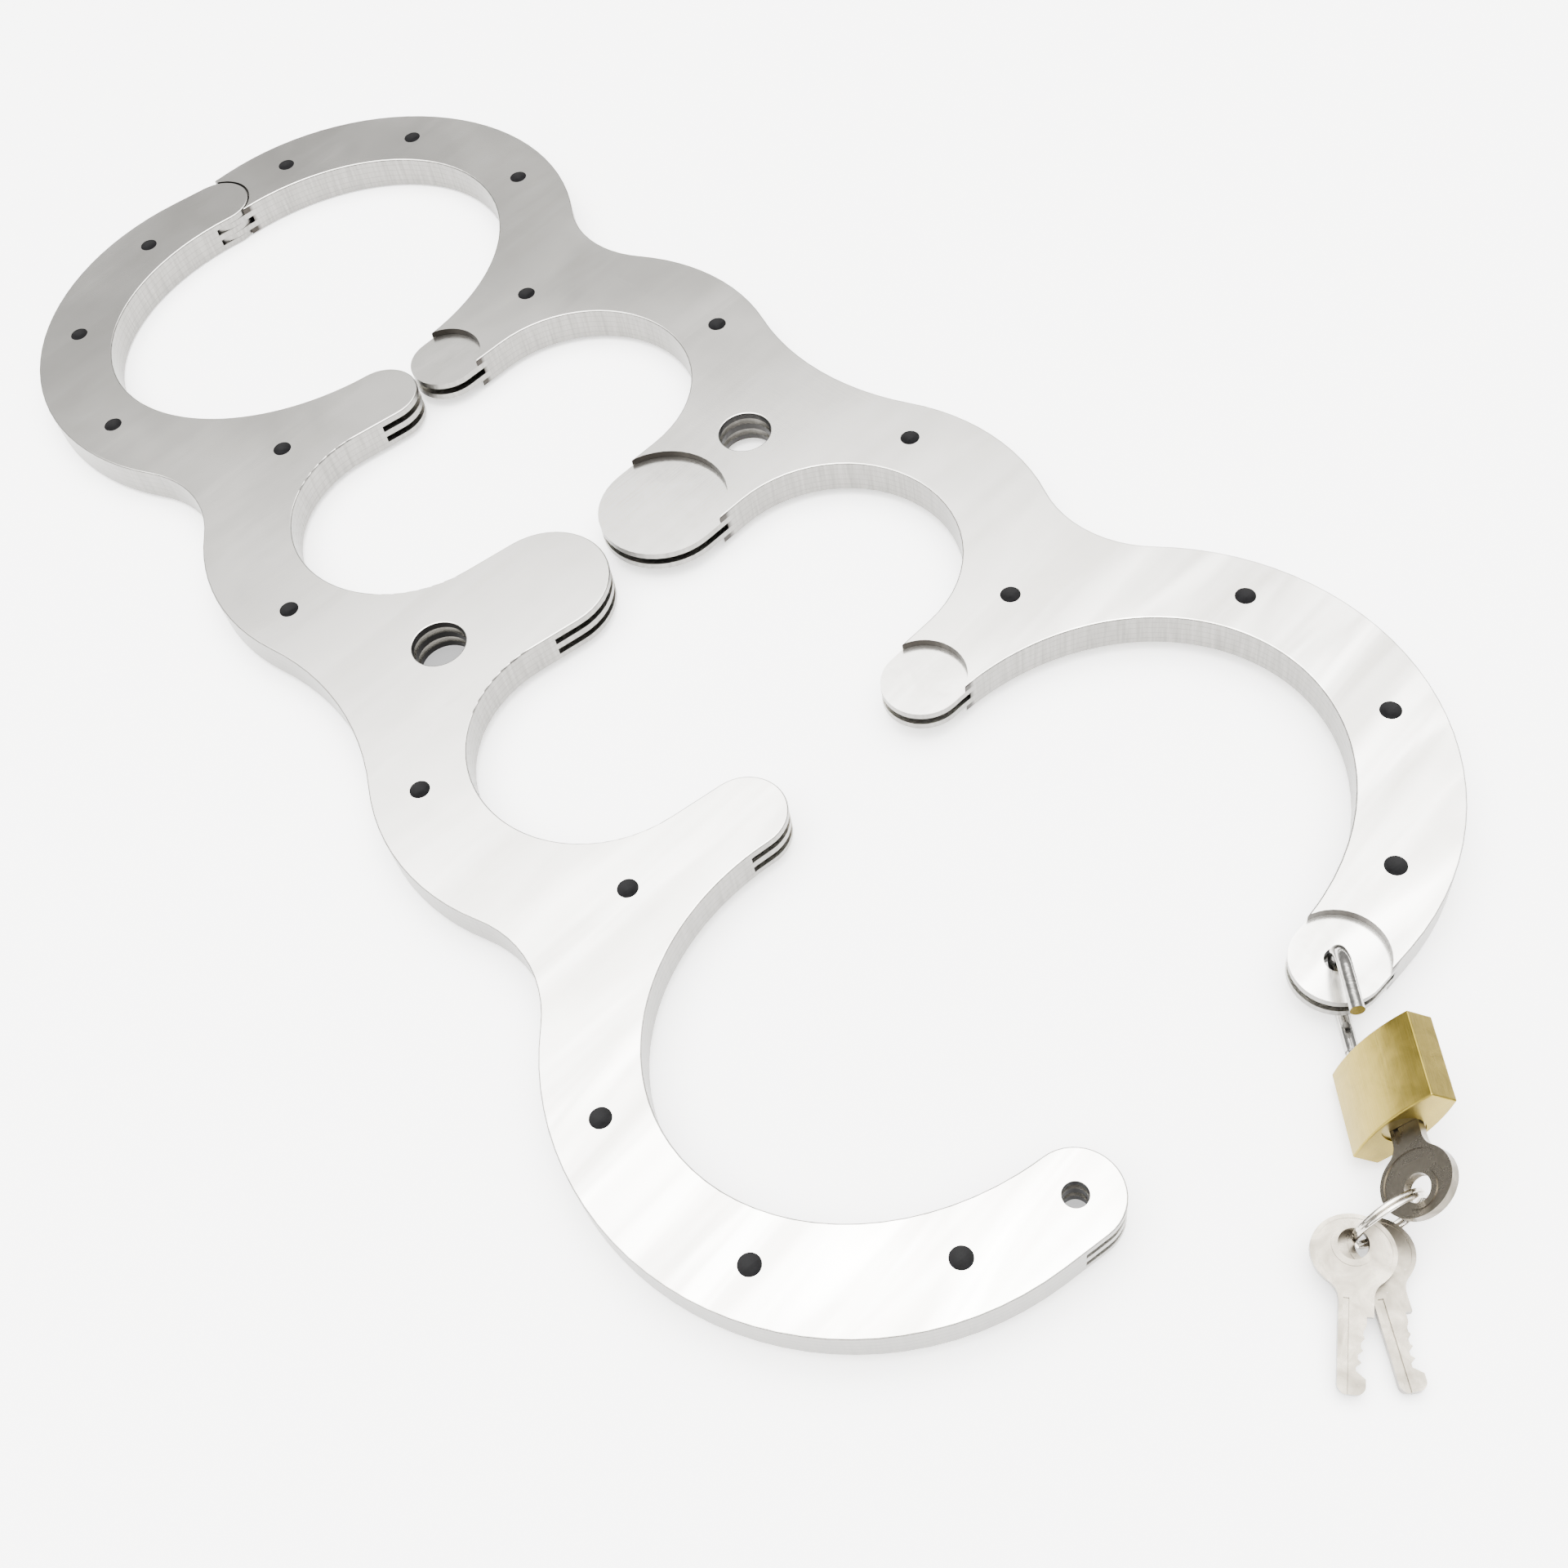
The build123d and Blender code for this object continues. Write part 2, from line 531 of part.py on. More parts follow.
KEY_SLOT_SLACK = 0.08
with BuildPart() as padlock_plug:
    with BuildSketch(PLUG_PLANE.offset(PLUG_FACE)):
        Circle(PLUG_RADIUS)
    extrude(amount=PLUG_TOP - PLUG_FACE)
    with BuildSketch(PLUG_PLANE.offset(PLUG_FACE)):
        Circle(PLUG_FLANGE)
    extrude(amount=PLUG_FLANGE_DEPTH)
    with BuildSketch(PLUG_PLANE.offset(PLUG_TOP)):
        with Locations((0, TAIL_OFFSET)):
            Circle(TAIL_RADIUS)
    extrude(amount=TAIL_LENGTH)
    slot_width = 2 * (BLADE_HALF_WIDTH + KEY_SLOT_SLACK)
    slot_depth = KEY_TIP - SHOULDER_AT + 0.2
    with BuildSketch(PLUG_PLANE.offset(PLUG_FACE)):
        Rectangle(slot_width, KEY_THICKNESS + 2 * KEY_SLOT_SLACK)
    extrude(amount=slot_depth, mode=Mode.SUBTRACT)
    for level_z in PIN_LEVELS:
        with BuildSketch(plug_side_plane(0, level_z)):
            Circle(PIN_RADIUS + PIN_SLACK)
        extrude(amount=PLUG_RADIUS + 1, mode=Mode.SUBTRACT)
padlock_plug.part.label = "padlock_plug"
export_step(padlock_plug.part, "parts/padlock_plug.step")


def cut_depth_at(height):
    """How far the key's cut edge stands from the key's centreline at a plug height."""
    along = SHOULDER_AT + height - PLUG_FACE
    nearest = min(CUT_STEPS, key=lambda step: abs(step[0] - along))
    return BLADE_HALF_WIDTH - nearest[1] if abs(nearest[0] - along) < CUT_HALF_WIDTH else BLADE_HALF_WIDTH


with BuildPart() as key_pins:
    for level_z in PIN_LEVELS:
        tip_x = cut_depth_at(level_z) + KEY_SLOT_SLACK
        with BuildSketch(plug_side_plane(tip_x + PIN_POINT, level_z)):
            Circle(PIN_RADIUS)
        extrude(amount=PLUG_RADIUS - tip_x - PIN_POINT - 0.1)
        with BuildSketch(plug_side_plane(tip_x + PIN_POINT, level_z)):
            Circle(PIN_RADIUS)
        extrude(amount=-PIN_POINT, taper=PIN_TAPER)
key_pins.part.label = "padlock_key_pins"
export_step(key_pins.part, "parts/padlock_key_pins.step")

with BuildPart() as driver_pins:
    for level_z in PIN_LEVELS:
        with BuildSketch(case_side_plane(PLUG_RADIUS + PLUG_SLACK, level_z)):
            Circle(PIN_RADIUS)
        extrude(amount=DRIVER_END - PLUG_RADIUS - PLUG_SLACK)
driver_pins.part.label = "padlock_driver_pins"
export_step(driver_pins.part, "parts/padlock_driver_pins.step")

pin_spring_set = []
for level_z in PIN_LEVELS:
    spring_start = CASE_PLANE.from_local_coords((DRIVER_END, 0, level_z))
    pin_spring_set.append(coil(spring_start, CASE_X, SPRING_END - DRIVER_END, 0.4, 0.1, 6).part)
with BuildPart() as pin_springs:
    for one_spring in pin_spring_set:
        add(one_spring)
pin_springs.part.label = "padlock_pin_springs"
export_step(pin_springs.part, "parts/padlock_pin_springs.step")

with BuildPart() as pin_caps:
    for level_z in PIN_LEVELS:
        with BuildSketch(case_side_plane(SPRING_END, level_z)):
            Circle(PIN_RADIUS + PIN_SLACK - 0.005)
        extrude(amount=CASE_WIDTH / 2 - SPRING_END)
pin_caps.part.label = "padlock_pin_caps"
export_step(pin_caps.part, "parts/padlock_pin_caps.step")

with BuildPart() as latch_bolt:
    with BuildSketch(case_level(LATCH_BOTTOM)):
        with Locations(((LATCH_HEEL + LATCH_NOSE) / 2, 0)):
            Rectangle(LATCH_NOSE - LATCH_HEEL, 2 * LATCH_HALF_WIDTH)
        with Locations(LATCH_SLOT_CENTRE):
            Rectangle(*LATCH_SLOT, mode=Mode.SUBTRACT)
    extrude(amount=LATCH_TOP - LATCH_BOTTOM)
latch_bolt.part.label = "padlock_latch_bolt"
export_step(latch_bolt.part, "parts/padlock_latch_bolt.step")


# --- keys ---------------------------------------------------------------------------
def make_key(plane, label):
    """A flat key: plane's origin is the bow hole, its Y axis points to the tip."""
    with BuildPart() as key:
        with BuildSketch(plane.offset(-KEY_THICKNESS / 2)) as outline:
            with Locations((0, BOW_CENTRE)):
                Ellipse(BOW_HALF_WIDTH, BOW_HALF_LENGTH)
            neck_start = BOW_CENTRE + BOW_HALF_LENGTH / 2
            with Locations(((SHOULDER_X - BLADE_HALF_WIDTH) / 2, (neck_start + SHOULDER_AT) / 2)):
                Rectangle(SHOULDER_X + BLADE_HALF_WIDTH, SHOULDER_AT - neck_start)
            corners = outline.vertices().filter_by(
                lambda v: neck_start + 0.5 < (plane.to_local_coords(v).Y) < SHOULDER_AT - 1
            )
            if corners:
                fillet(corners, NECK_ROUND)
            with Locations((0, (SHOULDER_AT + KEY_TIP) / 2 - 0.5)):
                Rectangle(2 * BLADE_HALF_WIDTH, KEY_TIP - SHOULDER_AT + 1)
            tip_corners = outline.vertices().filter_by(
                lambda v: plane.to_local_coords(v).Y > KEY_TIP - 0.1
            )
            fillet(tip_corners, TIP_ROUND)
            Circle(BOW_HOLE_RADIUS, mode=Mode.SUBTRACT)
            for along, depth in CUT_STEPS:
                reach = CUT_HALF_WIDTH + CUT_SLOPE
                edge = BLADE_HALF_WIDTH + 0.2
                floor_x = BLADE_HALF_WIDTH - depth
                with BuildLine():
                    Polyline(
                        (edge, along - reach),
                        (floor_x, along - CUT_HALF_WIDTH / 2),
                        (floor_x, along + CUT_HALF_WIDTH / 2),
                        (edge, along + reach),
                        close=True,
                    )
                make_face(mode=Mode.SUBTRACT)
        extrude(amount=KEY_THICKNESS)
        for face_height in (KEY_THICKNESS / 2 - BOW_PANEL_DEPTH, -KEY_THICKNESS / 2):
            with BuildSketch(plane.offset(face_height)):
                with Locations((0, BOW_CENTRE)):
                    Ellipse(BOW_HALF_WIDTH - BOW_RIM, BOW_HALF_LENGTH - BOW_RIM)
                Circle(BOSS_RADIUS, mode=Mode.SUBTRACT)
            extrude(amount=BOW_PANEL_DEPTH, mode=Mode.SUBTRACT)
        groove_start = SHOULDER_AT - 2.5
        for face_height in (KEY_THICKNESS / 2 - GROOVE_DEPTH, -KEY_THICKNESS / 2):
            with BuildSketch(plane.offset(face_height)):
                with Locations((GROOVE_X, (groove_start + KEY_TIP + 1) / 2)):
                    Rectangle(GROOVE_WIDTH, KEY_TIP + 1 - groove_start)
            extrude(amount=GROOVE_DEPTH, mode=Mode.SUBTRACT)
    key.part.label = label
    return key


KEY_HOLE_BELOW = SHOULDER_AT - (HALF_HEIGHT + PLUG_FACE) + 0.05
lock_key_origin = CASE_PLANE.from_local_coords((0, 0, -HALF_HEIGHT - KEY_HOLE_BELOW))
LOCK_KEY_PLANE = Plane(
    origin=lock_key_origin, x_dir=PLUG_PLANE.x_dir, z_dir=PLUG_PLANE.x_dir.cross(LOCK_UP)
)

# The loose keys lean with their tips down, their bows held up by the ring: one nearly
# flat, the other across it.
LOWER_KEY_HOLE = lock_key_origin + Vector(-8.738, -0.111, -9.556)
LOWER_KEY_BEARING = 242.33
LOWER_KEY_DIP = -3.4
UPPER_KEY_HOLE = lock_key_origin + Vector(-11.375, 1.185, -6.756)
UPPER_KEY_BEARING = 225.66
UPPER_KEY_DIP = -10.79


def lying_plane(origin, bearing, dip):
    """A key lying face up with its tip towards a bearing."""
    tip_dir = unit(bearing, dip)
    across = unit(bearing + 90, 0)
    return Plane(origin=origin, x_dir=across, z_dir=across.cross(tip_dir))


UPPER_KEY_PLANE = lying_plane(UPPER_KEY_HOLE, UPPER_KEY_BEARING, UPPER_KEY_DIP)
LOWER_KEY_PLANE = lying_plane(LOWER_KEY_HOLE, LOWER_KEY_BEARING, LOWER_KEY_DIP)

for key_plane, key_label in (
    (LOCK_KEY_PLANE, "key_in_lock"),
    (UPPER_KEY_PLANE, "upper_loose_key"),
    (LOWER_KEY_PLANE, "lower_loose_key"),
):
    one_key = make_key(key_plane, key_label)
    export_step(one_key.part, f"parts/{key_label}.step")

# --- split ring ---------------------------------------------------------------------
RING_PLANE = Plane(origin=lock_key_origin + Vector(*RING_OFFSET), z_dir=unit(RING_AXIS_BEARING, 0))
with BuildPart() as key_ring:
    for offset_z in (-RING_TURN_OFFSET, RING_TURN_OFFSET):
        with Locations(RING_PLANE.offset(offset_z).location):
            Torus(RING_RADIUS, RING_WIRE)
key_ring.part.label = "key_ring"
export_step(key_ring.part, "parts/key_ring.step")
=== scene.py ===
import json
import math

import bpy
from mathutils import Matrix, Vector


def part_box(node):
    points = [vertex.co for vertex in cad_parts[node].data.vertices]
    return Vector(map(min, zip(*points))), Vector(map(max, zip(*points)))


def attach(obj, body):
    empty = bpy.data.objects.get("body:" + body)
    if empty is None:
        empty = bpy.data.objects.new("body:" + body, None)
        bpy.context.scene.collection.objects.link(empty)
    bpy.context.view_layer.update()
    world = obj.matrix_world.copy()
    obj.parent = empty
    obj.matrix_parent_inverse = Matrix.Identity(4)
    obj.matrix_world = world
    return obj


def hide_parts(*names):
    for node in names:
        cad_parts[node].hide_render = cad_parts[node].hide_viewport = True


# The looks of a hinged shackle board: satin stainless plates, blackened fasteners, a brass
# padlock with a plated shackle, nickel keys and a split ring. Metres, in the CAD's frame.

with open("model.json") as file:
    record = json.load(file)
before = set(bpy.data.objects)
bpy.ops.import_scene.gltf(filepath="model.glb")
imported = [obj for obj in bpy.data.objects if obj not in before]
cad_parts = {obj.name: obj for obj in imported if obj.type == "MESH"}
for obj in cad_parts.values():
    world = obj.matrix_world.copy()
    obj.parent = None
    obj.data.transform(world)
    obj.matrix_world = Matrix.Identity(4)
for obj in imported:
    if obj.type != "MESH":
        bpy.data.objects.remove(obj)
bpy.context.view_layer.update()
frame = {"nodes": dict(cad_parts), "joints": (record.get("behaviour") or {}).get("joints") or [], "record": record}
nodes = frame["nodes"]
record = frame["record"]
joints = {joint["name"]: joint for joint in frame["joints"]}

PLATE = 0.0015  # one sheet's thickness
CASE_AXIS = Vector(joints["plug_turn"]["axis"])
CASE_SIDE = Vector(joints["latch_slide"]["axis"])
ARM_TURN = math.radians(10.5)  # how far the right arm's plates stand open
PLATE_SLOT = "stainless_plate"
SWEEP_TURN = math.radians(-12)  # slant of the painted reflection streaks
PAINTED_SHADE_FADE = 0.0006  # how far the painted shade on a hole's wall fades past its edge
# Each ear's distance from the hinge axis, and its radius.
EARS = ((0.0, 0.008), (0.092, 0.008), (0.165, 0.0135), (0.238, 0.008), (0.33, 0.008))
EAR_GAP = 0.0012  # how far past an ear the painted shade on the cut-back walls reaches
LOCK_HOLE_REACH = 0.33  # lock holes' distance from the hinge axis
LOCK_HOLE_RADIUS = 0.00225

HOLES = [(m["pos_m"], m["dims"]["r_mm"] / 1000) for m in record["mounts"] if m["kind"] == "bore"]
other_lock_hole = (LOCK_HOLE_REACH * math.sin(ARM_TURN), -LOCK_HOLE_REACH * math.cos(ARM_TURN))
HOLES.append((other_lock_hole, LOCK_HOLE_RADIUS))


# --- node helpers -----------------------------------------------------------------------
class Graph:
    """A material's node tree, with short calls to add and join nodes."""

    def __init__(self, name):
        self.material = bpy.data.materials.new(name)
        self.material.use_nodes = True
        self.tree = self.material.node_tree
        self.tree.nodes.clear()
        self.output = self.tree.nodes.new("ShaderNodeOutputMaterial")
        self.shader = self.tree.nodes.new("ShaderNodeBsdfPrincipled")
        self.tree.links.new(self.shader.outputs[0], self.output.inputs[0])

    def node(self, kind, **settings):
        made = self.tree.nodes.new(kind)
        for key, value in settings.items():
            setattr(made, key, value)
        return made

    def link(self, source, target):
        self.tree.links.new(source, target)

    def feed(self, socket, value):
        """Sets a socket from a number, a colour or another node's output."""
        if isinstance(value, bpy.types.NodeSocket):
            self.link(value, socket)
        else:
            socket.default_value = value

    def coords(self, turn=None, stretch=(1, 1, 1)):
        """Object coordinates, turned and stretched."""
        place = self.node("ShaderNodeTexCoord").outputs["Object"]
        if turn is not None:
            spin = self.node("ShaderNodeMapping")
            spin.inputs["Rotation"].default_value = turn.to_euler()
            self.link(place, spin.inputs["Vector"])
            place = spin.outputs[0]
        scale = self.node("ShaderNodeMapping")
        scale.inputs["Scale"].default_value = stretch
        self.link(place, scale.inputs["Vector"])
        return scale.outputs[0]

    def noise(self, vector, scale, detail=3.0, roughness=0.5, distortion=0.0):
        made = self.node("ShaderNodeTexNoise")
        self.link(vector, made.inputs["Vector"])
        made.inputs["Scale"].default_value = scale
        made.inputs["Detail"].default_value = detail
        made.inputs["Roughness"].default_value = roughness
        made.inputs["Distortion"].default_value = distortion
        return made.outputs["Fac"]

    def spots(self, vector, scale, edge=0.1):
        """1 in scattered round spots, 0 elsewhere."""
        made = self.node("ShaderNodeTexVoronoi")
        self.link(vector, made.inputs["Vector"])
        made.inputs["Scale"].default_value = scale
        return self.ramp(made.outputs["Distance"], edge * 0.5, edge, 1.0, 0.0)

    def ramp(self, value, low, high, out_low=0.0, out_high=1.0):
        made = self.node("ShaderNodeMapRange")
        made.clamp = True
        self.link(value, made.inputs["Value"])
        made.inputs["From Min"].default_value = low
        made.inputs["From Max"].default_value = high
        made.inputs["To Min"].default_value = out_low
        made.inputs["To Max"].default_value = out_high
        return made.outputs[0]

    def math(self, operation, first, second=0.0):
        made = self.node("ShaderNodeMath", operation=operation)
        self.feed(made.inputs[0], first)
        self.feed(made.inputs[1], second)
        return made.outputs[0]

    def mix(self, amount, first, second):
        made = self.node("ShaderNodeMix", data_type="RGBA")
        self.feed(made.inputs[0], amount)
        self.feed(made.inputs[6], first)
        self.feed(made.inputs[7], second)
        return made.outputs[2]

    def part_of_normal(self, axis):
        """How squarely a face looks along an axis of the part, 0 to 1."""
        dot = self.node("ShaderNodeVectorMath", operation="DOT_PRODUCT")
        self.link(self.node("ShaderNodeTexCoord").outputs["Normal"], dot.inputs[0])
        dot.inputs[1].default_value = axis
        return self.math("ABSOLUTE", dot.outputs["Value"])

    def height(self, axis):
        """A point's place along an axis of the part, in metres."""
        dot = self.node("ShaderNodeVectorMath", operation="DOT_PRODUCT")
        self.link(self.node("ShaderNodeTexCoord").outputs["Object"], dot.inputs[0])
        dot.inputs[1].default_value = axis
        return dot.outputs["Value"]

    def around(self, centre, radius, rim=PAINTED_SHADE_FADE):
        """1 inside an upright cylinder about a hole's centre, 0 outside."""
        flat = self.coords(None, (1, 1, 0))
        reach = self.node("ShaderNodeVectorMath", operation="DISTANCE")
        self.link(flat, reach.inputs[0])
        reach.inputs[1].default_value = (centre[0], centre[1], 0.0)
        return self.ramp(reach.outputs["Value"], radius, radius + rim, 1.0, 0.0)

    def bump(self, *layers):
        """Chains (height, strength, distance) layers into the shader's normal."""
        normal = None
        for height, strength, distance in layers:
            made = self.node("ShaderNodeBump")
            self.feed(made.inputs["Strength"], strength)
            made.inputs["Distance"].default_value = distance
            self.link(height, made.inputs["Height"])
            if normal is not None:
                self.link(normal, made.inputs["Normal"])
            normal = made.outputs[0]
        self.link(normal, self.shader.inputs["Normal"])

    def finish(self, colour, roughness, metallic=1.0, **others):
        self.feed(self.shader.inputs["Base Color"], colour)
        self.feed(self.shader.inputs["Roughness"], roughness)
        self.shader.inputs["Metallic"].default_value = metallic
        for name, value in others.items():
            self.shader.inputs[name.replace("_", " ")].default_value = value
        return self.material


def frame_turn(x_dir, z_dir):
    """The rotation that takes the part's axes to the world's."""
    x_axis = Vector(x_dir).normalized()
    z_axis = Vector(z_dir).normalized()
    return Matrix((x_axis, z_axis.cross(x_axis), z_axis))


# --- materials --------------------------------------------------------------------------
STEEL = ((0.62, 0.608, 0.575, 1), (0.69, 0.678, 0.645, 1))  # darker and lighter polish
EAR_STEEL = ((0.56, 0.55, 0.52, 1), (0.72, 0.71, 0.675, 1))
# Painted shade: colour the top faces take on towards the hinge end.
HINGE_END_PAINTED_SHADE = (0.36, 0.352, 0.335, 1)
# Painted reflection: light and dark streaks on the top faces.
PAINTED_STREAK_HIGHLIGHT = (0.95, 0.935, 0.895, 1)
PAINTED_STREAK_SHADE = (0.40, 0.385, 0.35, 1)
WALL = ((0.17, 0.166, 0.156, 1), (0.25, 0.244, 0.23, 1))
SEAM = (0.10, 0.097, 0.092, 1)
PIT = (0.12, 0.115, 0.105, 1)
# Painted shade for the walls of holes.
HOLE_PAINTED_SHADE = (0.03, 0.029, 0.028, 1)
# Painted shade for the cut-back walls around the ears.
EAR_GAP_PAINTED_SHADE = (0.03, 0.027, 0.024, 1)


def stainless(name, turn_angle, disc):
    """Satin-polished sheet with fine grain, painted reflection streaks and painted shade, and cut walls with faint
    seams.
    """
    g = Graph(name)
    turn = Matrix.Rotation(-turn_angle, 3, "Z")
    plain = g.coords(turn)
    face = g.ramp(g.part_of_normal((0, 0, 1)), 0.55, 0.9)
    grain = g.noise(g.coords(turn, (2600, 60, 2600)), 1.0, 3.0, 0.6)
    cross = g.noise(g.coords(turn, (90, 2400, 2600)), 1.0, 2.0, 0.6)
    cloud = g.noise(plain, 28.0, 3.0, 0.5, 0.6)
    patch = g.noise(plain, 75.0 if not disc else 160.0, 5.0, 0.6, 1.2)
    wave = g.noise(g.coords(turn, (22, 11, 22)), 1.0, 1.5, 0.4, 0.4)
    level = g.math("DIVIDE", g.height((0, 0, 1)), PLATE)
    layer = g.math("FRACT", g.math("ADD", level, 0.5))
    offset = g.math("ABSOLUTE", g.math("SUBTRACT", layer, 0.5))
    seam = g.ramp(offset, 0.015, 0.06, 1.0, 0.0)
    cut_lines = g.noise(g.coords(turn, (1500, 1500, 90)), 1.0, 2.0, 0.5)
    pits = g.spots(plain, 420.0, 0.12)
    if disc:
        bright = g.mix(g.ramp(patch, 0.3, 0.75), *EAR_STEEL)
    else:
        bright = g.mix(g.ramp(patch, 0.3, 0.8), *STEEL)
    # Painted reflection: light and dark streaks on the top faces, strongest at the lock end.
    lock_end = g.ramp(g.height((0, 1, 0)), -0.28, -0.20, 1.0, 0.25)
    slanted = g.coords(Matrix.Rotation(SWEEP_TURN, 3, "Z"), (14, 105, 30))
    sweep = g.noise(slanted, 1.0, 2.5, 0.5, 0.9)
    painted_streak_highlight = g.math("MULTIPLY", g.ramp(sweep, 0.5, 0.68), lock_end)
    shade = g.math("MULTIPLY", g.ramp(sweep, 0.32, 0.5, 1.0, 0.0), lock_end)
    bright = g.mix(painted_streak_highlight, bright, PAINTED_STREAK_HIGHLIGHT)
    bright = g.mix(g.math("MULTIPLY", shade, 0.75), bright, PAINTED_STREAK_SHADE)
    # Painted shade: the top faces darken towards the hinge end.
    painted_hinge_shade = g.ramp(g.height((0, 1, 0)), -0.27, -0.13, 0.0, 0.6)
    bright = g.mix(painted_hinge_shade, bright, HINGE_END_PAINTED_SHADE)
    wall = g.mix(g.ramp(cut_lines, 0.3, 0.7), *WALL)
    wall = g.mix(g.math("MULTIPLY", seam, 0.6), wall, SEAM)
    wall = g.mix(g.math("MULTIPLY", pits, 0.3), wall, PIT)
    # Painted shade: hole walls darkened to near black.
    for centre, radius in HOLES:
        wall = g.mix(g.around(centre, radius), wall, HOLE_PAINTED_SHADE)
    # Painted shade: dark arcs on the right arm's cut-back walls around each ear.
    for reach, radius in EARS if turn_angle and not disc else ():
        centre = (reach * math.sin(turn_angle), -reach * math.cos(turn_angle))
        wall = g.mix(g.around(centre, radius + EAR_GAP), wall, EAR_GAP_PAINTED_SHADE)
    colour = g.mix(face, wall, bright)
    top_rough = g.ramp(cloud, 0.3, 0.75, 0.17, 0.25)
    wall_rough = g.ramp(cut_lines, 0.3, 0.7, 0.3, 0.42)
    rough_mix = g.node("ShaderNodeMix", data_type="FLOAT")
    g.feed(rough_mix.inputs[0], face)
    g.feed(rough_mix.inputs[2], wall_rough)
    g.feed(rough_mix.inputs[3], top_rough)
    on_wall = g.math("SUBTRACT", 1.0, face)
    g.bump(
        (wave, g.math("MULTIPLY", face, 0.35), 0.0006),
        (grain, g.math("MULTIPLY", face, 0.10), 0.00004),
        (cross, g.math("MULTIPLY", face, 0.16 if disc else 0.04), 0.00004),
        (cut_lines, g.math("MULTIPLY", on_wall, 0.3), 0.00006),
        (seam, g.math("MULTIPLY", on_wall, -0.4), 0.0001),
    )
    return g.finish(colour, rough_mix.outputs[0])


def blackened():
    """Smooth blackened fasteners with a faint cloudy sheen."""
    g = Graph("blackened_steel")
    cloud = g.noise(g.coords(), 900.0, 3.0, 0.6)
    colour = g.mix(g.ramp(cloud, 0.3, 0.7), (0.0015, 0.0015, 0.0017, 1), (0.004, 0.004, 0.0044, 1))
    g.bump((g.noise(g.coords(), 2600.0, 2.0), 0.12, 0.00003))
    roughness = g.ramp(cloud, 0.3, 0.7, 0.35, 0.5)
    return g.finish(colour, roughness, metallic=0.0, Specular_IOR_Level=0.05)


def turned_steel(name, tone):
    """Small machined or drawn steel pieces."""
    g = Graph(name)
    rings = g.noise(g.coords(None, (400, 400, 9000)), 1.0, 2.0, 0.6)
    dark = (tone * 0.8, tone * 0.8, tone * 0.8, 1)
    colour = g.mix(g.ramp(rings, 0.3, 0.7), dark, (tone, tone, tone * 0.98, 1))
    g.bump((rings, 0.2, 0.00002))
    return g.finish(colour, g.ramp(rings, 0.3, 0.7, 0.2, 0.34))


BRUSH_SCALE = 2600
BRASS_SCRATCH = (0.40, 0.31, 0.09, 1)


def brass(name, base, edge):
    """Satin brass, brushed across the case, with tarnish clouds."""
    g = Graph(name)
    turn = frame_turn(CASE_SIDE, CASE_AXIS)
    brushed = g.noise(g.coords(turn, (BRUSH_SCALE, 300, 300)), 1.0, 3.0, 0.6)
    lengthwise = g.noise(g.coords(turn, (5200, 5200, 160)), 1.0, 3.0, 0.6)
    cloud = g.noise(g.coords(turn), 240.0, 4.0, 0.6, 0.8)
    tone = g.mix(g.ramp(cloud, 0.3, 0.75), base, edge)
    scratches = g.math("MULTIPLY", g.ramp(lengthwise, 0.45, 0.75), 0.25)
    colour = g.mix(scratches, tone, BRASS_SCRATCH)
    g.bump((lengthwise, 0.35, 0.00005), (brushed, 0.08, 0.00003), (cloud, 0.2, 0.0002))
    return g.finish(colour, g.ramp(cloud, 0.3, 0.75, 0.28, 0.4))


def plated(name, light, dark, roughness, wear_scale):
    """Nickel or chrome plate with soft wear clouds and pin-prick pits."""
    g = Graph(name)
    plain = g.coords()
    cloud = g.noise(plain, wear_scale, 4.0, 0.6, 0.9)
    fine = g.noise(plain, wear_scale * 7, 3.0, 0.6)
    pits = g.spots(plain, wear_scale * 3.1, 0.1)
    tone = g.mix(g.ramp(cloud, 0.32, 0.72), dark, light)
    colour = g.mix(g.math("MULTIPLY", pits, 0.25), tone, (0.3, 0.28, 0.26, 1))
    g.bump((cloud, 0.25, 0.0002), (fine, 0.12, 0.00004))
    low, high = roughness
    return g.finish(colour, g.ramp(cloud, 0.3, 0.75, high, low))


left_steel = stainless("stainless_left", 0.0, False)
right_steel = stainless("stainless_right", ARM_TURN, False)
disc_steel = stainless("stainless_ears", ARM_TURN, True)
slot_materials = {
    "rivet_black": blackened(),
    "pin_steel": turned_steel("turned_steel", 0.55),
    "spring_steel": turned_steel("spring_wire", 0.42),
    "padlock_brass": brass("padlock_brass", (0.20, 0.15, 0.026, 1), (0.29, 0.22, 0.042, 1)),
    "plug_brass": brass("plug_brass", (0.22, 0.175, 0.07, 1), (0.30, 0.24, 0.10, 1)),
    "shackle_chrome": plated(
        "shackle_chrome", (0.46, 0.45, 0.43, 1), (0.30, 0.294, 0.28, 1), (0.06, 0.14), 500.0
    ),
    "key_nickel": plated(
        "key_nickel", (0.21, 0.19, 0.155, 1), (0.115, 0.103, 0.082, 1), (0.2, 0.36), 190.0
    ),
    "ring_nickel": plated(
        "ring_nickel", (0.60, 0.57, 0.51, 1), (0.40, 0.375, 0.33, 1), (0.06, 0.14), 600.0
    ),
}
node_slots = {entry["node"]: entry["material_slot"] for entry in record["subparts"]}


def plate_material(node):
    if node.startswith("left"):
        return left_steel
    return disc_steel if "middle" in node else right_steel


for node, thing in nodes.items():
    slot = node_slots[node]
    material = plate_material(node) if slot == PLATE_SLOT else slot_materials[slot]
    thing.data.materials.clear()
    thing.data.materials.append(material)


# --- split ring -------------------------------------------------------------------------
RING_FACES = 14  # sides of the wire's section
RING_STEPS = 200  # stations along the wire
RING_TURNS = 1.93
RING_START = math.radians(200)
WIRE_WIDE = 0.96  # of half the CAD ring's width
WIRE_DEEP = 0.86
WIRE_TRIM = 0.98  # keeps the two turns apart
CROSSING = 9  # how sharply the wire steps from one turn to the next


